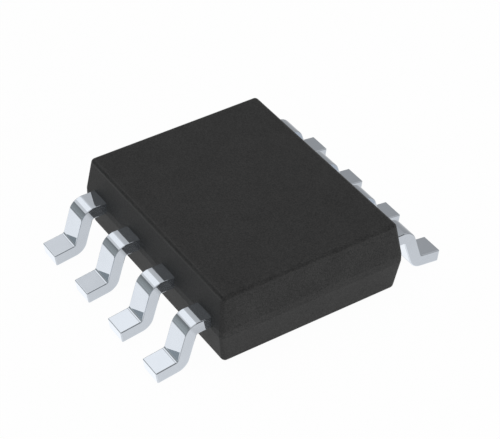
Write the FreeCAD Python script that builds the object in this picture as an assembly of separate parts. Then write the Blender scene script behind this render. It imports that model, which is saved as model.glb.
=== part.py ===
import FreeCAD, Part
import math
import os

from FreeCAD import Vector

# Eight-lead small-outline chip: a moulded body with two rows of formed gull-wing leads,
# and inside it a downset paddle, the die and one bond wire to each lead.
# Millimetres. The origin is at the middle of the chip on its seating plane, +Z is up,
# the two rows run along Y, and the leads stick out along +X and -X.

# Leads: driving dimensions
leads_per_row = 4
lead_pitch = 1.27
lead_width = 0.486
lead_thickness = 0.254
shoulder_run = 0.384        # parting band to the shoulder's bend, along the middle of the strip
riser_angle = 17.5          # riser away from vertical
foot_angle = 7.8            # foot down towards the toe
foot_length = 0.536         # heel's bend to the toe, along the middle of the strip
shoulder_bend_radius = 0.057
heel_bend_radius = 0.05

# Moulding: driving dimensions
body_width = 3.986          # over the parting band, across the rows
end_margin = 0.589          # middle of the outermost lead to the parting band's end
standoff = 0.078            # seating plane to the underside
lower_height = 0.693
band_height = 0.151
upper_height = 0.713
draft_angle = 7.9
edge_radius = 0.096
frame_rise = 0.073          # middle of the leads above the middle of the parting band

# Inner fingers of the leads: driving dimensions
finger_length = 0.74        # parting band to the finger's tip
anchor_wall = 0.22          # compound outside the wide part of the finger
anchor_gap = 0.43           # between the wide parts of neighbouring fingers
anchor_taper = 0.1
corner_shift = 0.12         # the end fingers lean this far towards the middle
lock_slot_width = 0.12      # slot that the compound fills, along the finger
lock_slot_length = 0.34     # and across it
lock_slot_inset = 0.36      # finger's tip to the slot's middle

# Paddle and tie bars: driving dimensions
finger_gap = 0.2            # finger's tip to the paddle
paddle_end_wall = 0.97      # paddle's end to the parting band's end
paddle_downset = 0.2
downset_angle = 30.0
downset_start = 0.08        # paddle's end to the foot of the slope in the tie bar
downset_bend_radius = 0.05
tie_bar_width = 0.3
tie_bar_cover = 0.1         # compound over the tie bar's cut end

# Die and bond wires: driving dimensions
die_side_margin = 0.35      # paddle left bare beside the die
die_end_margin = 0.55
die_thickness = 0.28
attach_thickness = 0.025
attach_rim = 0.06           # adhesive that shows round the die
pad_inset = 0.12            # die's edge to the middle of its bond pads
stitch_inset = 0.14         # finger's tip to where the wire lands
wire_diameter = 0.05
wire_rise = 0.17            # die's face to the top of the loop, middle of the wire
nail_head_radius = 0.05     # ball bond squashed onto the die
nail_head_height = 0.02

# Heights that follow
band_bottom = standoff + lower_height
band_top = band_bottom + band_height
body_top = band_top + upper_height
frame_middle = (band_bottom + band_top) / 2 + frame_rise
frame_top = frame_middle + lead_thickness / 2
paddle_middle = frame_middle - paddle_downset
paddle_top = paddle_middle + lead_thickness / 2
attach_top = paddle_top + attach_thickness
die_top = attach_top + die_thickness
wire_top = die_top + wire_rise

# Places in plan that follow
half_width = body_width / 2
half_row = lead_pitch * (leads_per_row - 1) / 2
half_length = half_row + end_margin
finger_tip = half_width - finger_length
anchor_end = half_width - anchor_wall
anchor_width = lead_pitch - corner_shift - anchor_gap
half_paddle_width = finger_tip - finger_gap
half_paddle_length = half_length - paddle_end_wall
half_die_width = half_paddle_width - die_side_margin
half_die_length = half_paddle_length - die_end_margin
half_attach_width = half_die_width + attach_rim
half_attach_length = half_die_length + attach_rim
pad_spacing = 2 * (half_die_length - pad_inset) / (leads_per_row - 1)

# Reach of the forms that trim others, clear of the whole chip
far_out = 2 * (body_width + half_length)

middle = Vector(0, 0, 0)
upwards = Vector(0, 0, 1)

# How far from level the ends of a level edge may be, and how a tube turns a corner of its path
level_tolerance = 1e-6
mitred = 1


def direction(angle):
    """Unit vector in the XZ plane, angle in degrees above +X."""
    return Vector(math.cos(math.radians(angle)), 0, math.sin(math.radians(angle)))


def leftwards(along):
    """A quarter turn anticlockwise of a direction in the XZ plane."""
    return Vector(-along.z, 0, along.x)


def bend_angle(before, after):
    """Signed turn from one direction to the next in the XZ plane, anticlockwise positive."""
    cross = before.x * after.z - before.z * after.x
    return math.atan2(cross, before.dot(after))


def offset_edges(points, radii, thickness, side):
    """Edges of one face of a bent strip, half a thickness to the given side of its middle."""
    shift = side * thickness / 2
    runs = [(b - a).normalize() for a, b in zip(points, points[1:])]
    start = points[0] + leftwards(runs[0]) * shift
    edges = []
    for corner, before, after, inner in zip(points[1:-1], runs, runs[1:], radii):
        turn = bend_angle(before, after)
        turn_side = math.copysign(1, turn)
        middle_radius = inner + thickness / 2
        reach = middle_radius * math.tan(abs(turn) / 2)
        centre = corner - before * reach + leftwards(before) * middle_radius * turn_side
        enter = corner - before * reach + leftwards(before) * shift
        leave = corner + after * reach + leftwards(after) * shift
        crown = centre + (corner - centre).normalize() * (middle_radius - shift * turn_side)
        edges.append(Part.LineSegment(start, enter).toShape())
        edges.append(Part.Arc(enter, crown, leave).toShape())
        start = leave
    finish = points[-1] + leftwards(runs[-1]) * shift
    edges.append(Part.LineSegment(start, finish).toShape())
    return edges


def strip_face(points, radii, thickness):
    """Side view of a bent strip, in the XZ plane, from its middle line and inner bend radii."""
    upper = offset_edges(points, radii, thickness, 1)
    lower = offset_edges(points, radii, thickness, -1)
    near_end, far_end = (
        Part.LineSegment(upper[place].Vertexes[place].Point, lower[place].Vertexes[place].Point).toShape()
        for place in (0, -1)
    )
    return Part.Face(Part.Wire(upper + [far_end] + lower[::-1] + [near_end]))


def across(face, width):
    """A side view drawn out along Y, the same distance to each side."""
    moved = face.translated(Vector(0, -width / 2, 0))
    return moved.extrude(Vector(0, width, 0))


def upright(corners, low, high):
    """A plan outline of straight sides, drawn up from one height to another."""
    points = [Vector(x, y, low) for x, y in corners]
    outline = Part.makePolygon(points + points[:1])
    return Part.Face(outline).extrude(Vector(0, 0, high - low))


def centred_box(half_x, half_y, low, high):
    """A box about the upright axis, from one height to another."""
    return Part.makeBox(2 * half_x, 2 * half_y, high - low, Vector(-half_x, -half_y, low))


def lead_middle_line():
    """Points of a lead's middle line, from the finger's tip out to the toe."""
    foot = direction(-foot_angle)
    toe_height = leftwards(foot).z * lead_thickness / 2
    heel_height = toe_height + foot_length * math.sin(math.radians(foot_angle))
    shoulder_x = half_width + shoulder_run
    heel_x = shoulder_x + (frame_middle - heel_height) * math.tan(math.radians(riser_angle))
    heel = Vector(heel_x, 0, heel_height)
    tip = Vector(finger_tip, 0, frame_middle)
    shoulder = Vector(shoulder_x, 0, frame_middle)
    return [tip, shoulder, heel, heel + foot * foot_length]


def anchor_place(lead_y):
    """Middle of the wide part of a finger: the end fingers lean towards the chip's middle."""
    is_end = abs(abs(lead_y) - half_row) < lead_pitch / 2
    return lead_y - math.copysign(corner_shift, lead_y) if is_end else lead_y


def finger_plan(lead_y):
    """Plan outline of a lead: wide anchor inside the moulding, plain strip outside."""
    anchor_y = anchor_place(lead_y)
    neck = anchor_end + anchor_taper
    half_anchor = anchor_width / 2
    half_lead = lead_width / 2
    return [
        (finger_tip, anchor_y - half_anchor),
        (anchor_end, anchor_y - half_anchor),
        (neck, lead_y - half_lead),
        (far_out, lead_y - half_lead),
        (far_out, lead_y + half_lead),
        (neck, lead_y + half_lead),
        (anchor_end, anchor_y + half_anchor),
        (finger_tip, anchor_y + half_anchor),
    ]


def make_lead(lead_y):
    """One lead of the +X row: the bent strip, trimmed to its plan outline."""
    side_view = strip_face(lead_middle_line(), [shoulder_bend_radius, heel_bend_radius], lead_thickness)
    strip = across(side_view, far_out)
    lead = strip.common(upright(finger_plan(lead_y), -far_out, far_out))
    slot = centred_box(lock_slot_width / 2, lock_slot_length / 2, -far_out, far_out)
    return lead.cut(slot.translated(Vector(finger_tip + lock_slot_inset, anchor_place(lead_y), 0)))


def make_paddle():
    """Paddle and tie bars: one strip set down in the middle, trimmed to its plan outline."""
    slope_run = paddle_downset / math.tan(math.radians(downset_angle))
    slope_foot = half_paddle_length + downset_start
    slope_head = slope_foot + slope_run
    bar_end = half_length - tie_bar_cover
    half_line = [(bar_end, frame_middle), (slope_head, frame_middle), (slope_foot, paddle_middle)]
    points = [Vector(-reach, 0, height) for reach, height in half_line]
    points += [Vector(reach, 0, height) for reach, height in reversed(half_line)]
    side_view = strip_face(points, [downset_bend_radius] * 4, lead_thickness)
    strip = across(side_view, far_out)
    strip.rotate(middle, upwards, 90)
    paddle_plan = centred_box(half_paddle_width, half_paddle_length, -far_out, far_out)
    bar_plan = centred_box(tie_bar_width / 2, half_length, -far_out, far_out)
    return strip.common(paddle_plan.fuse(bar_plan)).removeSplitter()


def make_bond_wire(pad, landing):
    """Nail head on the die, straight up, a sharp bend, and down to a flat landing on the finger."""
    plan_run = Vector(landing.x - pad.x, landing.y - pad.y, 0)
    base = Vector(0, 0, die_top)
    crest = Vector(0, 0, wire_top)
    descent = Vector(plan_run.Length, 0, frame_top - wire_top)
    through_finger = crest + descent * 2
    path = Part.makePolygon([base, crest, through_finger])
    section = Part.Wire(Part.makeCircle(wire_diameter / 2, base, upwards))
    above_finger = centred_box(far_out, far_out, frame_top, far_out)
    tube = path.makePipeShell([section], True, True, mitred).common(above_finger)
    nail_head = Part.makeCylinder(nail_head_radius, nail_head_height, base)
    wire = nail_head.fuse(tube).removeSplitter()
    wire.rotate(middle, upwards, math.degrees(math.atan2(plan_run.y, plan_run.x)))
    return wire.translated(Vector(pad.x, pad.y, 0))


def tapered_block(low, high, low_inset, high_inset):
    """A level of the moulding, set in from the parting band by one amount below and one above."""
    low_x = half_width - low_inset
    low_y = half_length - low_inset
    high_x = half_width - high_inset
    high_y = half_length - high_inset
    block = Part.makeWedge(-low_x, low, -low_y, -high_y, -high_x, low_x, high, low_y, high_y, high_x)
    block.rotate(middle, Vector(1, 0, 0), 90)
    return block


def runs_at(edge, height):
    """Whether both ends of an edge lie at one height."""
    return all(abs(vertex.Z - height) < level_tolerance for vertex in edge.Vertexes)


def make_moulding():
    """Outer form: lower draft, straight band and upper draft, sharp only along the band."""
    slope = math.tan(math.radians(draft_angle))
    lower = tapered_block(standoff, band_bottom, slope * lower_height, 0)
    band = tapered_block(band_bottom, band_top, 0, 0)
    upper = tapered_block(band_top, body_top, 0, slope * upper_height)
    block = lower.fuse([band, upper]).removeSplitter()
    rounded = [edge for edge in block.Edges if not (runs_at(edge, band_bottom) or runs_at(edge, band_top))]
    return block.makeFillet(edge_radius, rounded)


pieces = {}
pieces["die_paddle"] = make_paddle()
pieces["die_attach"] = centred_box(half_attach_width, half_attach_length, paddle_top, attach_top)
pieces["silicon_die"] = centred_box(half_die_width, half_die_length, attach_top, die_top)

# Leads count anticlockwise seen from above: down the -X row, then up the +X row
for number in range(1, 2 * leads_per_row + 1):
    on_left = number <= leads_per_row
    place = number - 1 if on_left else number - 1 - leads_per_row
    lead_y = lead_pitch * place - half_row
    pad = Vector(half_die_width - pad_inset, pad_spacing * place - half_die_length + pad_inset, 0)
    landing = Vector(finger_tip + stitch_inset, anchor_place(lead_y), 0)
    lead = make_lead(lead_y)
    wire = make_bond_wire(pad, landing)
    if on_left:
        lead.rotate(middle, upwards, 180)
        wire.rotate(middle, upwards, 180)
    pieces[f"lead_{number}"] = lead
    pieces[f"bond_wire_{number}"] = wire

pieces["mould_body"] = make_moulding().cut(list(pieces.values()))

os.makedirs("parts", exist_ok=True)
for name, shape in pieces.items():
    shape.exportStep(f"parts/{name}.step")
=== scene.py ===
import math

import bmesh
import bpy
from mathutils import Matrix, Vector


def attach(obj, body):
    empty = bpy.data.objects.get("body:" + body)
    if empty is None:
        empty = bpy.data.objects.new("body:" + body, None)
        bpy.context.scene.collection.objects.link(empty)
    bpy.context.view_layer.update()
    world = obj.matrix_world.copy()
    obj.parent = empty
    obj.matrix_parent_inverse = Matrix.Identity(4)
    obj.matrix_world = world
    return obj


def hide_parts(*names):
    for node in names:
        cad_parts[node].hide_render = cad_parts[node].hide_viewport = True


MM = 0.001

# The chip, in millimetres and degrees, as the frame has it
LEADS_PER_ROW = 4
LEAD_PITCH = 1.27
LEAD_WIDTH = 0.486
LEAD_THICKNESS = 0.254
SHOULDER_RUN = 0.384
RISER_ANGLE = 17.5            # lean of the riser out from upright
FOOT_ANGLE = 7.8              # fall of the foot towards its toe
FOOT_LENGTH = 0.536
SHOULDER_BEND_RADIUS = 0.057
HEEL_BEND_RADIUS = 0.05
HALF_WIDTH = 1.993            # of the moulding, along X
HALF_LENGTH = 2.494           # of the moulding, along Y
STANDOFF = 0.078
BAND_BOTTOM = 0.771
BAND_TOP = 0.922
BODY_TOP = 1.635
DRAFT_ANGLE = 7.9
EDGE_RADIUS = 0.096
FRAME_MIDDLE = 0.9195         # height of the middle of the strip
FINGER_LENGTH = 0.74
ANCHOR_WALL = 0.22            # moulding between its side and the anchor
ANCHOR_GAP = 0.43             # between neighbouring anchors
ANCHOR_TAPER = 0.1
CORNER_SHIFT = 0.12           # of the end anchors towards the middle of their row
LOCK_SLOT_WIDTH = 0.12
LOCK_SLOT_LENGTH = 0.34
LOCK_SLOT_INSET = 0.36

# Fineness of the visible forms
STRIP_EDGE_RADIUS = 0.020     # softened edges of the stamped strip
BAND_EDGE_RADIUS = 0.020      # softened edges of the parting band
LOWER_EDGE_RADIUS = 0.105     # softened lower edge of the moulding
RIM_SPREAD = 0.035            # how far the upper rim's shading reaches in past its fillet
RIM_LEAN = 8.0                # tilt of the shading where that fillet meets the top
CREASE_WIDTH = 0.014          # pressed line on the foot where the heel's bend begins
CREASE_LEAN = 6.0
NECK_OVERLAP = 0.01           # how far the outer strip reaches in past the finger's neck
BEND_STEPS = 40
EDGE_STEPS = 3
BAND_STEPS = 2
CORNER_STEPS = 10
FILLET_STEPS = 8

# Camera fitted to the photograph, in pixels, degrees and millimetres
PHOTO_WIDTH = 500
FOCAL_PIXELS = 1850.865
SENSOR_WIDTH = 36
CAMERA_AZIMUTH = -32.7043
CAMERA_ELEVATION = 39.4758
CAMERA_DISTANCE = 35.1341
CAMERA_TARGET = (0.1533, -0.0876, 0.9164)
CLIP_NEAR, CLIP_FAR = 1, 5000

# Colours of each material, from its dark spots to its pale ones
MOULD_COLOURS = (0.0040, 0.0040, 0.0041, 1), (0.0342, 0.0342, 0.0339, 1)
TIN_COLOURS = (0.785, 0.838, 0.908, 1), (0.815, 0.868, 0.940, 1)
COPPER_COLOURS = (0.62, 0.30, 0.17, 1), (0.75, 0.40, 0.25, 1)
GOLD_COLOURS = (0.83, 0.58, 0.20, 1), (0.93, 0.69, 0.29, 1)
SILICON_COLOURS = (0.045, 0.05, 0.06, 1), (0.075, 0.08, 0.095, 1)
PASTE_COLOURS = (0.42, 0.42, 0.41, 1), (0.56, 0.56, 0.55, 1)
USUAL_RANGE = 0.3, 0.7        # of noise, between which a material goes from one end to the other
MOULD_RANGE = 0.35, 0.95
TIN_RANGE = 0.25, 0.75
BROAD_SHARE = 0.3             # of broad spots added to the moulding's fine ones
RIM_POLISH = 0.16             # how much less rough the moulding is round its upper rim
RIM_POLISH_LOW = 0.95, 0.75   # where that fades in, in fillet radii under the top
RIM_POLISH_HIGH = 0.001, 0.006    # where it fades out again, in millimetres under the top

# Studio that the tin mirrors, by the direction looked in: x towards the right row of leads, y
# away from the near end and z up, each from -1 to 1. Its light is given by z, all round and on the
# floor at the left, and so is the share taken off at the left.
WALL_LEVELS = [(-1.0, 0.90), (-0.70, 0.84), (-0.64, 0.77), (-0.60, 0.74), (-0.45, 0.63), (-0.28, 0.48),
               (-0.07, 0.37), (0.06, 0.35), (0.32, 0.33), (0.47, 0.325), (0.58, 0.46), (0.64, 0.50),
               (0.70, 0.48), (1.0, 0.48)]
LEFT_FLOOR_LEVELS = [(-1.0, 0.60), (-0.48, 0.60), (-0.38, 0.91), (-0.16, 0.88)]
LEFT_SHADES = [(-1.0, 0.0), (-0.13, 0.0), (-0.09, 0.23), (-0.04, 0.2), (0.02, -0.1), (0.09, -0.02),
               (0.15, 0.06), (0.2, 0.03), (0.26, 0.065), (0.33, 0.065), (0.4, 0.175), (0.46, 0.3),
               (0.52, 0.47), (0.56, 0.63), (0.62, 0.6), (0.8, 0.0)]
SHADE_OFFSET = 0.2            # keeps those shares above zero on their way through a colour ramp
COOL_TINT = (0.94, 1.0, 1.0, 1.0)

# Patches of the studio: the amount of each, and along which axes and between which places it fades in
PATCHES = {
    "ceiling_glow": (0.10, ("x", 0.42, 0.10), ("z", 0.55, 0.72)),
    "left_wall": (1.0, ("x", -0.35, -0.55)),
    "far_left": (0.18, ("y", 0.63, 0.70), ("x", -0.40, -0.48), ("z", -0.17, -0.12), ("z", 0.62, 0.55)),
    "over_near_end": (0.92, ("y", 0.15, -0.3), ("z", 0.0, 0.2), ("x", 0.62, 0.50), ("x", 0.05, 0.2)),
    "high_far_right": (0.22, ("x", 0.39, 0.45), ("y", 0.3, 0.5), ("z", 0.52, 0.58), ("z", 0.72, 0.67)),
    "low_far_right": (0.27, ("x", 0.37, 0.43), ("y", 0.45, 0.55), ("z", -0.50, -0.56), ("z", -0.72, -0.66)),
    "near_floor": (0.165, ("y", 0.1, -0.3), ("z", 0.0, -0.2)),
    "left_floor": (1.0, ("x", -0.12, -0.5), ("z", -0.15, -0.19)),
    "near_left": (0.6, ("y", -0.2, -0.5), ("x", -0.2, -0.5), ("z", -0.55, -0.40), ("z", 0.1, -0.1)),
    "far_floor": (0.22, ("y", 0.52, 0.60), ("z", -0.66, -0.69), ("x", 0.12, -0.08), ("x", -0.30, -0.22)),
    "steep_near_floor": (0.25, ("y", 0.0, -0.3), ("z", -0.70, -0.80)),
    "cool_left": (1.0, ("x", -0.35, -0.55), ("z", -0.16, -0.1), ("z", 0.62, 0.52)),
}

# Softbox: its distance in millimetres, and all else in shares of that distance
SOFTBOX_DISTANCE = 800
SOFTBOX_OUTLINE = [(-0.72, 0.55), (0.262, 0.55), (0.262, 1.10), (0.246, 1.10), (0.246, 1.15),
                   (0.26, 1.16), (0.26, 2.1), (-0.90, 2.1)]
SOFTBOX_SLANT = 0.75          # of the border between its lower left corner and the rest
SOFTBOX_LEFT_FADE = 0.52, 0.64
SOFTBOX_LEVELS = 0.66, 0.96   # in the lower left corner, and in the rest
SOFTBOX_RIGHT_FADE = 0.13, 0.17    # from the left into the lower right corner
SOFTBOX_LOWER_FADE = 1.115, 1.095    # from above into the lower right corner
SOFTBOX_CORNER_FADE = 1.0, 1.08    # between the shares taken off low and high in that corner
SOFTBOX_CORNER_SHADES = 0.25, 0.30

# Floor, in millimetres from the middle of the chip
FLOOR_REACH = 300
FLOOR_DROP = 0.002            # keeps it clear of the feet
FLOOR_COLOUR = 0.86
FLOOR_ROUGHNESS = 0.9
FLOOR_WHITE = 0.975           # share of plain white that the camera sees, the rest being lit floor
CHIP_SHADE = 0.75             # painted shadow round the chip: what is left of the light that mirrors take from the floor under it
CHIP_SHADE_ACROSS = 1.8, 1.95    # where that shade fades out along X
CHIP_SHADE_ALONG = 2.5, 3.6    # and along Y

# Lamps: place, width and height in metres, and radiance
LAMPS = {
    "overhead": ((0, 0.05, 1.0), 0.7, 0.7, 1.4),
    "left_fill": ((-0.7, 0.0, 0.75), 0.5, 0.5, 0.75),
    "front_fill": ((0.25, -1.0, 0.11), 0.9, 0.2, 15.0),
}

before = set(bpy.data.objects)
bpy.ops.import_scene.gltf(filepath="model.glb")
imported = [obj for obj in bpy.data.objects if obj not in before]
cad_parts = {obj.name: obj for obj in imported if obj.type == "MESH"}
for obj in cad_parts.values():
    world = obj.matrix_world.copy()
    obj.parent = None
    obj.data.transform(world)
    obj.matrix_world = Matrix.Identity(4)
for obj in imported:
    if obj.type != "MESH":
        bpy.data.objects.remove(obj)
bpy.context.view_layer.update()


# Meshes

def mesh_object(name, points, faces, normals=None):
    """An object from points in millimetres, shaded smooth where normals are given."""
    mesh = bpy.data.meshes.new(name)
    mesh.from_pydata([[c * MM for c in point] for point in points], [], faces)
    mesh.validate()
    mesh.polygons.foreach_set("use_smooth", [normals is not None] * len(mesh.polygons))
    if normals is not None:
        mesh.normals_split_custom_set_from_vertices(normals)
    thing = bpy.data.objects.new(name, mesh)
    bpy.context.scene.collection.objects.link(thing)
    return thing


def tube_faces(ring_count, ring_size):
    """Quads between rings that follow each other, and a cap at each end."""
    faces = []
    for ring in range(ring_count - 1):
        base = ring * ring_size
        for k in range(ring_size):
            after = (k + 1) % ring_size
            faces.append((base + k, base + after, base + ring_size + after, base + ring_size + k))
    last = (ring_count - 1) * ring_size
    faces.append(tuple(range(ring_size - 1, -1, -1)))
    faces.append(tuple(range(last, last + ring_size)))
    return faces


def arc(start, end, steps):
    """Angles from start to end in degrees, both included."""
    return [start + (end - start) * k / steps for k in range(steps + 1)]


def unit(angle):
    """Cosine and sine of an angle in degrees."""
    return math.cos(math.radians(angle)), math.sin(math.radians(angle))


def tangent(angle):
    return math.tan(math.radians(angle))


def corner_arcs(steps):
    """Round a rectangle's corners: the signs of each corner, with the direction at each step there."""
    for quarter, signs in enumerate(((1, 1), (-1, 1), (-1, -1), (1, -1))):
        for angle in arc(90 * quarter, 90 * quarter + 90, steps):
            yield signs, unit(angle)


# Moulding

def moulding_levels():
    """Levels from the underside to the top: half sizes, height, corner radius, normal's elevation."""
    slope = tangent(DRAFT_ANGLE)
    levels = []

    def rolled(inset, middle_z, radius, start, end):
        """Levels round the fillet of a level edge, by the place of its circle's middle."""
        for angle in arc(start, end, FILLET_STEPS):
            out, up = unit(angle)
            levels.append((HALF_WIDTH - inset + radius * out, HALF_LENGTH - inset + radius * out,
                           middle_z + radius * up, max(EDGE_RADIUS * out, 0.0), angle))

    def fillet_inset(radius):
        """From a drafted wall at a flat's height in to the middle of their fillet's circle."""
        return radius * (1 / unit(DRAFT_ANGLE)[0] - slope)

    low_inset = slope * (BAND_BOTTOM - STANDOFF) + fillet_inset(LOWER_EDGE_RADIUS)
    rolled(low_inset, STANDOFF + LOWER_EDGE_RADIUS, LOWER_EDGE_RADIUS, -90, -DRAFT_ANGLE)
    reach = BAND_EDGE_RADIUS * tangent(DRAFT_ANGLE / 2)
    for edge_z, start, end in ((BAND_BOTTOM, -DRAFT_ANGLE, 0), (BAND_TOP, 0, DRAFT_ANGLE)):
        middle_z = edge_z + (reach if start else -reach)
        for angle in arc(start, end, BAND_STEPS):
            out, up = unit(angle)
            cut = BAND_EDGE_RADIUS * (1 - out)
            levels.append((HALF_WIDTH - cut, HALF_LENGTH - cut, middle_z + BAND_EDGE_RADIUS * up,
                           EDGE_RADIUS, angle))
    high_inset = slope * (BODY_TOP - BAND_TOP) + fillet_inset(EDGE_RADIUS)
    rolled(high_inset, BODY_TOP - EDGE_RADIUS, EDGE_RADIUS, DRAFT_ANGLE, 90)
    for step in range(1, FILLET_STEPS + 2):
        half_x, half_y, height, corner, angle = levels[-step]
        lean = RIM_LEAN * (1 - (90 - angle) / (90 - DRAFT_ANGLE))
        levels[-step] = half_x, half_y, height, corner, angle - lean
    rim_inset = high_inset + RIM_SPREAD
    levels.append((HALF_WIDTH - rim_inset, HALF_LENGTH - rim_inset, BODY_TOP, 0.0, 90))
    return levels


def make_moulding():
    points, normals = [], []
    levels = moulding_levels()
    for half_x, half_y, height, corner, elevation in levels:
        out, up = unit(elevation)
        for (side_x, side_y), (along_x, along_y) in corner_arcs(CORNER_STEPS):
            points.append((side_x * (half_x - corner) + corner * along_x,
                           side_y * (half_y - corner) + corner * along_y, height))
            normals.append((along_x * out, along_y * out, up))
    return mesh_object("moulding", points, tube_faces(len(levels), len(points) // len(levels)), normals)


# Leads

def strip_section():
    """Rounded rectangle of the strip: middle of each corner's circle, and the direction from it."""
    half_w = LEAD_WIDTH / 2 - STRIP_EDGE_RADIUS
    half_t = LEAD_THICKNESS / 2 - STRIP_EDGE_RADIUS
    return [(side_w * half_w, side_t * half_t, across, through)
            for (side_w, side_t), (across, through) in corner_arcs(EDGE_STEPS)]


def strip_stations():
    """Stations along the middle line of the outer strip: x, z, downward tilt in degrees."""
    tilt = 90 - RISER_ANGLE
    half_t = LEAD_THICKNESS / 2
    foot_out, foot_up = unit(FOOT_ANGLE)
    heel_z = foot_out * half_t + FOOT_LENGTH * foot_up
    shoulder_x = HALF_WIDTH + SHOULDER_RUN
    heel_x = shoulder_x + (FRAME_MIDDLE - heel_z) * tangent(RISER_ANGLE)
    stations = [(HALF_WIDTH - ANCHOR_WALL + ANCHOR_TAPER - NECK_OVERLAP, FRAME_MIDDLE, 0)]
    radius = SHOULDER_BEND_RADIUS + half_t
    start_x = shoulder_x - radius * tangent(tilt / 2)
    for angle in arc(0, tilt, BEND_STEPS):
        forward, down = unit(90 - angle)
        stations.append((start_x + radius * forward, FRAME_MIDDLE - radius * (1 - down), angle))
    radius = HEEL_BEND_RADIUS + half_t
    reach = radius * tangent((tilt - FOOT_ANGLE) / 2)
    along, fall = unit(tilt)
    middle_x = heel_x - reach * along + radius * fall
    middle_z = heel_z + reach * fall + radius * along
    for angle in arc(tilt, FOOT_ANGLE, BEND_STEPS):
        along, fall = unit(angle)
        stations.append((middle_x - radius * fall, middle_z - radius * along, angle))
    stations.append((heel_x + FOOT_LENGTH * foot_out, heel_z - FOOT_LENGTH * foot_up, FOOT_ANGLE))
    return stations


def strip_rings():
    """Rings of the strip: x, z, tilt, how far back of there, angle round the toe's edge, shading's lean.

    The stations, with one more past the crease, and the toe's cut end rounded as the strip's edges are.
    """
    rings = [(x, z, tilt, 0.0, 0.0, 0.0) for x, z, tilt in strip_stations()]
    toe_x, toe_z, tilt = rings.pop()[:3]
    x, z = rings.pop()[:2]
    along, fall = unit(tilt)
    rings.append((x, z, tilt, 0.0, 0.0, CREASE_LEAN))
    rings.append((x + CREASE_WIDTH * along, z - CREASE_WIDTH * fall, tilt, 0.0, 0.0, 0.0))
    for angle in arc(0, 90, EDGE_STEPS):
        outward = unit(angle)[1]
        rings.append((toe_x, toe_z, tilt, STRIP_EDGE_RADIUS * (1 - outward), angle, 0.0))
    return rings


def swept_strip(side, lead_y):
    """The strip outside the moulding: points, faces and normals."""
    section = strip_section()
    rings = strip_rings()
    points, normals = [], []
    for x, z, tilt, back, cap, lean in rings:
        along, fall = unit(tilt)
        lean_along, lean_fall = unit(tilt - lean)
        shrink, outward = unit(cap)
        x, z = x - along * back, z + fall * back
        for middle_w, middle_t, across, through in section:
            w = middle_w + STRIP_EDGE_RADIUS * across * shrink
            t = middle_t + STRIP_EDGE_RADIUS * through * shrink
            points.append((side * (x + t * fall), lead_y + w, z + t * along))
            normal = Vector((side * (through * shrink * lean_fall + outward * along), across * shrink,
                             through * shrink * lean_along - outward * fall))
            normals.append(normal.normalized()[:])
    faces = tube_faces(len(rings), len(section))
    if side < 0:
        faces = [face[::-1] for face in faces]
    return points, faces, normals


def finger_solid(side, lead_y):
    """The finger inside the moulding: wide anchor with its lock slot, and the neck's taper."""
    tip = HALF_WIDTH - FINGER_LENGTH
    anchor_end = HALF_WIDTH - ANCHOR_WALL
    neck = anchor_end + ANCHOR_TAPER
    row_end = abs(lead_y) > LEAD_PITCH
    anchor_y = lead_y - math.copysign(CORNER_SHIFT, lead_y) if row_end else lead_y
    half_anchor = (LEAD_PITCH - CORNER_SHIFT - ANCHOR_GAP) / 2
    half_slot = LOCK_SLOT_LENGTH / 2
    slot_x = tip + LOCK_SLOT_INSET
    columns = [tip, slot_x - LOCK_SLOT_WIDTH / 2, slot_x + LOCK_SLOT_WIDTH / 2, anchor_end]
    rows = [anchor_y + y for y in (-half_anchor, -half_slot, half_slot, half_anchor)]
    top = FRAME_MIDDLE + LEAD_THICKNESS / 2
    build = bmesh.new()

    def corner(x, y):
        return build.verts.new((side * x * MM, y * MM, top * MM))

    grid = [[corner(x, y) for y in rows] for x in columns]
    ends = [corner(neck, lead_y + k * LEAD_WIDTH / 2) for k in (-1, 1)]
    slot = 1, 1
    for i in range(len(columns) - 1):
        for j in range(len(rows) - 1):
            if (i, j) != slot:
                build.faces.new((grid[i][j], grid[i + 1][j], grid[i + 1][j + 1], grid[i][j + 1]))
    build.faces.new((grid[3][0], ends[0], ends[1], grid[3][3], grid[3][2], grid[3][1]))
    made = bmesh.ops.extrude_face_region(build, geom=build.faces[:])
    moved = [part for part in made["geom"] if isinstance(part, bmesh.types.BMVert)]
    bmesh.ops.translate(build, verts=moved, vec=(0, 0, -LEAD_THICKNESS * MM))
    bmesh.ops.recalc_face_normals(build, faces=build.faces)
    build.verts.index_update()
    points = [tuple(c / MM for c in vert.co) for vert in build.verts]
    faces = [tuple(vert.index for vert in face.verts) for face in build.faces]
    build.free()
    return points, faces


def make_lead(number):
    """One lead: swept strip outside, stamped finger inside, in the place of its node."""
    side = -1 if number <= LEADS_PER_ROW else 1
    place = (number - 1) % LEADS_PER_ROW
    lead_y = side * LEAD_PITCH * (place - (LEADS_PER_ROW - 1) / 2)
    strip = mesh_object(f"formed_lead_{number}", *swept_strip(side, lead_y))
    finger = mesh_object(f"finger_{number}", *finger_solid(side, lead_y))
    bpy.ops.object.select_all(action="DESELECT")
    finger.select_set(True)
    strip.select_set(True)
    bpy.context.view_layer.objects.active = strip
    bpy.ops.object.join()
    return strip


# Materials

def node(tree, kind, settings=None, **inputs):
    """A node with some settings, and its inputs by name or as i0, i1: a value or a node's output."""
    made = tree.nodes.new(kind)
    for key, value in (settings or {}).items():
        setattr(made, key, value)
    for key, value in inputs.items():
        by_number = key[0] == "i" and key[1:].isdigit()
        socket = made.inputs[int(key[1:]) if by_number else key.replace("_", " ")]
        if isinstance(value, bpy.types.NodeSocket):
            tree.links.new(value, socket)
        else:
            socket.default_value = value
    return made


def new_material(name):
    """A material, with its tree, its shader and the place on the object, in metres."""
    material = bpy.data.materials.new(name)
    material.use_nodes = True
    tree = material.node_tree
    place = node(tree, "ShaderNodeTexCoord").outputs["Object"]
    return material, tree, tree.nodes["Principled BSDF"], place


def grey(value):
    return (value, value, value, 1.0)


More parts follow.
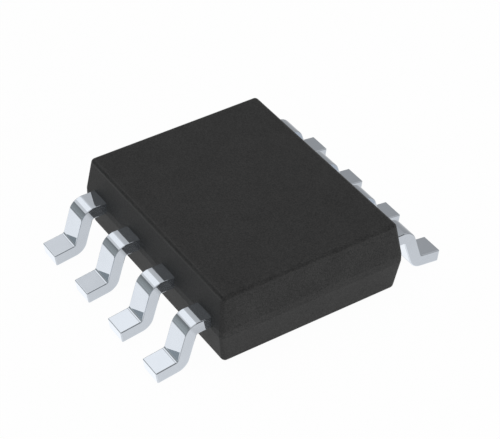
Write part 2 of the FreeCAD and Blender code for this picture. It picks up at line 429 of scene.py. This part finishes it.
def ramp(tree, factor, stops):
    """A colour ramp over a factor, with stops of (position, colour)."""
    made = tree.nodes.new("ShaderNodeValToRGB")
    tree.links.new(factor, made.inputs["Fac"])
    elements = made.color_ramp.elements
    while len(elements) > 1:
        elements.remove(elements[-1])
    elements[0].position, elements[0].color = stops[0]
    for position, colour in stops[1:]:
        elements.new(position).color = colour
    return made.outputs["Color"]


def spots(tree, noise, colours, limits=USUAL_RANGE):
    """From a first colour to a second one as a noise goes through a range."""
    return ramp(tree, noise, list(zip(limits, colours)))


def grain(tree, place, scale, detail):
    """Noise that varies a given number of times a millimetre."""
    return node(tree, "ShaderNodeTexNoise", Vector=place, Scale=scale / MM, Detail=detail).outputs["Fac"]


def smooth(tree, value, start, end, low=0.0, high=1.0):
    """A smooth step from one level to another as a value goes from start to end."""
    made = node(tree, "ShaderNodeMapRange", {"interpolation_type": "SMOOTHSTEP"},
                Value=value, From_Min=start, From_Max=end, To_Min=low, To_Max=high)
    return made.outputs["Result"]


def maths(tree, operation, first, second=0.0):
    return node(tree, "ShaderNodeMath", {"operation": operation}, i0=first, i1=second).outputs[0]


def axes(tree, place):
    """A place or direction's shares along x, y and z."""
    return node(tree, "ShaderNodeSeparateXYZ", Vector=place).outputs


def camera_sees(tree):
    """1 where the camera looks, 0 for light and mirror images."""
    return node(tree, "ShaderNodeLightPath").outputs["Is Camera Ray"]


def light(tree, strength):
    return node(tree, "ShaderNodeEmission", Color=grey(1.0), Strength=strength).outputs[0]


def mixed_shader(tree, share, first, second):
    return node(tree, "ShaderNodeMixShader", Fac=share, i1=first, i2=second).outputs[0]


def show(tree, surface):
    tree.links.new(surface, tree.nodes["Material Output"].inputs["Surface"])


def dress(tree, shader, colour, rough, relief, strength, depth):
    """Links a shader's colour, its roughness, and a relief with its depth in millimetres."""
    tree.links.new(colour, shader.inputs["Base Color"])
    tree.links.new(rough, shader.inputs["Roughness"])
    bump = node(tree, "ShaderNodeBump", Height=relief, Strength=strength, Distance=depth * MM)
    tree.links.new(bump.outputs["Normal"], shader.inputs["Normal"])


def mould_compound():
    """Black epoxy, matt on its flats and a little smoother round its upper rim."""
    material, tree, shader, place = new_material("mould_compound")
    fine = grain(tree, place, scale=42, detail=1)
    broad = grain(tree, place, scale=2.2, detail=3)
    mixed = maths(tree, "ADD", fine, maths(tree, "MULTIPLY", broad, BROAD_SHARE))
    height = axes(tree, place)["Z"]
    low, low_full = ((BODY_TOP - radii * EDGE_RADIUS) * MM for radii in RIM_POLISH_LOW)
    high, high_full = ((BODY_TOP - depth) * MM for depth in RIM_POLISH_HIGH)
    rim = maths(tree, "MULTIPLY", smooth(tree, height, low, low_full), smooth(tree, height, high, high_full))
    rough = spots(tree, broad, (grey(0.58), grey(0.62)))
    rough = maths(tree, "SUBTRACT", rough, maths(tree, "MULTIPLY", rim, RIM_POLISH))
    colour = spots(tree, mixed, MOULD_COLOURS, MOULD_RANGE)
    dress(tree, shader, colour, rough, fine, strength=0.5, depth=0.004)
    return material


def tinned_lead():
    """Bright tin plating with a faint mottle."""
    material, tree, shader, place = new_material("tinned_lead")
    fine = grain(tree, place, scale=40, detail=2)
    broad = grain(tree, place, scale=3.5, detail=3)
    shader.inputs["Metallic"].default_value = 0.985
    colour = spots(tree, broad, TIN_COLOURS, TIN_RANGE)
    rough = spots(tree, broad, (grey(0.03), grey(0.055)))
    dress(tree, shader, colour, rough, fine, strength=0.05, depth=0.001)
    return material


def inner_metal(name, colours, smoothest, roughest):
    """Brushed leadframe metal or gold wire, inside the moulding."""
    material, tree, shader, place = new_material(name)
    broad = grain(tree, place, scale=5, detail=4)
    fine = grain(tree, place, scale=45, detail=2)
    shader.inputs["Metallic"].default_value = 1.0
    rough = spots(tree, fine, (grey(smoothest), grey(roughest)))
    dress(tree, shader, spots(tree, broad, colours), rough, fine, strength=0.1, depth=0.001)
    return material


def inner_solid(name, colours, smoothest, roughest, metallic):
    """Silicon or die adhesive, inside the moulding."""
    material, tree, shader, place = new_material(name)
    broad = grain(tree, place, scale=8, detail=4)
    shader.inputs["Metallic"].default_value = metallic
    rough = spots(tree, broad, (grey(smoothest), grey(roughest)))
    dress(tree, shader, spots(tree, broad, colours), rough, broad, strength=0.1, depth=0.002)
    return material


def give(thing, material):
    thing.data.materials.clear()
    thing.data.materials.append(material)


# Pieces

compound = mould_compound()
tin = tinned_lead()
copper = inner_metal("copper_frame", COPPER_COLOURS, smoothest=0.25, roughest=0.38)
gold = inner_metal("wire_gold", GOLD_COLOURS, smoothest=0.16, roughest=0.26)
silicon = inner_solid("silicon", SILICON_COLOURS, smoothest=0.18, roughest=0.28, metallic=0.2)
paste = inner_solid("attach_paste", PASTE_COLOURS, smoothest=0.35, roughest=0.5, metallic=0.6)

moulding = make_moulding()
give(moulding, compound)
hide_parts("mould_body")
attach(moulding, "root")

for number in range(1, 2 * LEADS_PER_ROW + 1):
    lead = make_lead(number)
    give(lead, tin)
    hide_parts(f"lead_{number}")
    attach(lead, "root")
    give(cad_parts[f"bond_wire_{number}"], gold)

give(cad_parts["die_paddle"], copper)
give(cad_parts["die_attach"], paste)
give(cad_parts["silicon_die"], silicon)


# Floor, light and camera

def place_camera():
    azimuth, elevation = math.radians(CAMERA_AZIMUTH), math.radians(CAMERA_ELEVATION)
    back = Vector((math.sin(azimuth) * math.cos(elevation), -math.cos(azimuth) * math.cos(elevation),
                   math.sin(elevation)))
    data = bpy.data.cameras.new("camera")
    data.sensor_width = SENSOR_WIDTH
    data.lens = FOCAL_PIXELS / PHOTO_WIDTH * SENSOR_WIDTH
    data.clip_start, data.clip_end = CLIP_NEAR * MM, CLIP_FAR * MM
    camera = bpy.data.objects.new("camera", data)
    camera.location = (Vector(CAMERA_TARGET) + back * CAMERA_DISTANCE) * MM
    camera.rotation_mode = "QUATERNION"
    camera.rotation_quaternion = (-back).to_track_quat("-Z", "Y")
    bpy.context.scene.collection.objects.link(camera)
    bpy.context.scene.camera = camera


def make_world():
    """Pale studio: a bright floor, a dim wall above it, and a lighter ceiling, with their patches."""
    world = bpy.data.worlds.new("studio")
    world.use_nodes = True
    bpy.context.scene.world = world
    tree = world.node_tree
    direction = axes(tree, node(tree, "ShaderNodeTexCoord").outputs["Generated"])
    height = node(tree, "ShaderNodeMapRange", Value=direction["Z"], From_Min=-1.0, From_Max=1.0)

    def by_height(levels, offset=0.0):
        """Goes through levels given by z."""
        stops = [((z + 1) / 2, grey(level + offset)) for z, level in levels]
        return ramp(tree, height.outputs["Result"], stops)

    def patch(name):
        """A patch of the studio: its amount where all its fades are full, 0 outside it."""
        share, *fades = PATCHES[name]
        for axis, start, end in fades:
            share = maths(tree, "MULTIPLY", share, smooth(tree, direction[axis.upper()], start, end))
        return share

    def dimmed(level, share):
        return maths(tree, "MULTIPLY", level, maths(tree, "SUBTRACT", 1.0, share))

    def blend(low, high, share):
        return node(tree, "ShaderNodeMix", {"data_type": "FLOAT"}, i0=share, i2=low, i3=high).outputs[0]

    level = maths(tree, "ADD", by_height(WALL_LEVELS), patch("ceiling_glow"))
    left_shade = maths(tree, "SUBTRACT", by_height(LEFT_SHADES, SHADE_OFFSET), SHADE_OFFSET)
    level = dimmed(level, maths(tree, "MULTIPLY", left_shade, patch("left_wall")))
    for name in ("far_left", "over_near_end", "high_far_right", "low_far_right", "near_floor"):
        level = dimmed(level, patch(name))
    level = blend(level, by_height(LEFT_FLOOR_LEVELS), patch("left_floor"))
    level = dimmed(level, patch("near_left"))
    for name in ("far_floor", "steep_near_floor"):
        level = maths(tree, "ADD", level, patch(name))
    backdrop = tree.nodes["Background"]
    tree.links.new(blend(level, 1.0, camera_sees(tree)), backdrop.inputs["Strength"])
    tint = node(tree, "ShaderNodeMix", {"data_type": "RGBA"},
                i0=patch("cool_left"), i6=grey(1.0), i7=COOL_TINT)
    tree.links.new(tint.outputs[2], backdrop.inputs["Color"])


def make_softbox():
    """Large upright softbox at the back left, dimmer in its two lower corners."""
    outline = [(x * SOFTBOX_DISTANCE, SOFTBOX_DISTANCE, z * SOFTBOX_DISTANCE) for x, z in SOFTBOX_OUTLINE]
    box = mesh_object("softbox", outline, [tuple(range(len(outline)))])
    material, tree, _, place = new_material("softbox")
    across, _, up = axes(tree, place)

    def fade(value, limits, low=0.0, high=1.0):
        """A smooth step between two places, in shares of the distance."""
        start, end = (share * SOFTBOX_DISTANCE * MM for share in limits)
        return smooth(tree, value, start, end, low, high)

    slanted = maths(tree, "ADD", up, maths(tree, "MULTIPLY", across, SOFTBOX_SLANT))
    strength = fade(slanted, SOFTBOX_LEFT_FADE, *SOFTBOX_LEVELS)
    corner = maths(tree, "MULTIPLY", fade(across, SOFTBOX_RIGHT_FADE), fade(up, SOFTBOX_LOWER_FADE))
    corner = maths(tree, "MULTIPLY", corner, fade(up, SOFTBOX_CORNER_FADE, *SOFTBOX_CORNER_SHADES))
    strength = maths(tree, "MULTIPLY", strength, maths(tree, "SUBTRACT", 1.0, corner))
    show(tree, mixed_shader(tree, camera_sees(tree), light(tree, strength), light(tree, 1.0)))
    give(box, material)


def make_floor():
    """Pale sheet: white to the camera with a trace of the chip's shadow, and clear to mirror images, which
    it darkens round the chip with a painted shadow.
    """
    outline = [(side_x * FLOOR_REACH, side_y * FLOOR_REACH, 0)
               for side_x, side_y in ((-1, -1), (1, -1), (1, 1), (-1, 1))]
    floor = mesh_object("floor", outline, [(0, 1, 2, 3)])
    floor.location.z = -FLOOR_DROP * MM
    material, tree, shader, place = new_material("floor")
    shader.inputs["Base Color"].default_value = grey(FLOOR_COLOUR)
    shader.inputs["Roughness"].default_value = FLOOR_ROUGHNESS
    shader.inputs["Specular IOR Level"].default_value = 0.0
    x, y, _ = axes(tree, place)

    def away(value, limits):
        """0 near the middle of the chip and 1 past its side."""
        start, end = (limit * MM for limit in limits)
        return smooth(tree, maths(tree, "ABSOLUTE", value), start, end)

    # Painted shadow seen in mirrors: the see-through colour darkens by place round the chip, not by any lamp
    open_floor = maths(tree, "MAXIMUM", away(x, CHIP_SHADE_ACROSS), away(y, CHIP_SHADE_ALONG))
    level = smooth(tree, open_floor, 0.0, 1.0, CHIP_SHADE, 1.0)
    clear = node(tree, "ShaderNodeBsdfTransparent", Color=level).outputs[0]
    share = maths(tree, "MULTIPLY", camera_sees(tree), FLOOR_WHITE)
    seen = mixed_shader(tree, share, shader.outputs[0], light(tree, 1.0))
    path = node(tree, "ShaderNodeLightPath").outputs
    mirrored = maths(tree, "MAXIMUM", path["Is Glossy Ray"], path["Is Transmission Ray"])
    show(tree, mixed_shader(tree, mirrored, seen, clear))
    give(floor, material)


def area_lamp(name, place, width, height, radiance):
    """A soft lamp aimed at the chip, by its radiance, so that its level doesn't hang on its size."""
    data = bpy.data.lights.new(name, "AREA")
    data.shape = "RECTANGLE"
    data.size, data.size_y = width, height
    data.energy = radiance * math.pi * width * height
    lamp = bpy.data.objects.new(name, data)
    lamp.location = place
    lamp.rotation_mode = "QUATERNION"
    lamp.rotation_quaternion = (Vector((0, 0, 0)) - Vector(place)).to_track_quat("-Z", "Y")
    lamp.visible_camera = False
    lamp.visible_glossy = False
    bpy.context.scene.collection.objects.link(lamp)


place_camera()
make_world()
make_softbox()
make_floor()
for name, (place, width, height, radiance) in LAMPS.items():
    area_lamp(name, place, width, height, radiance)

scene = bpy.context.scene
scene.view_settings.view_transform = "Standard"
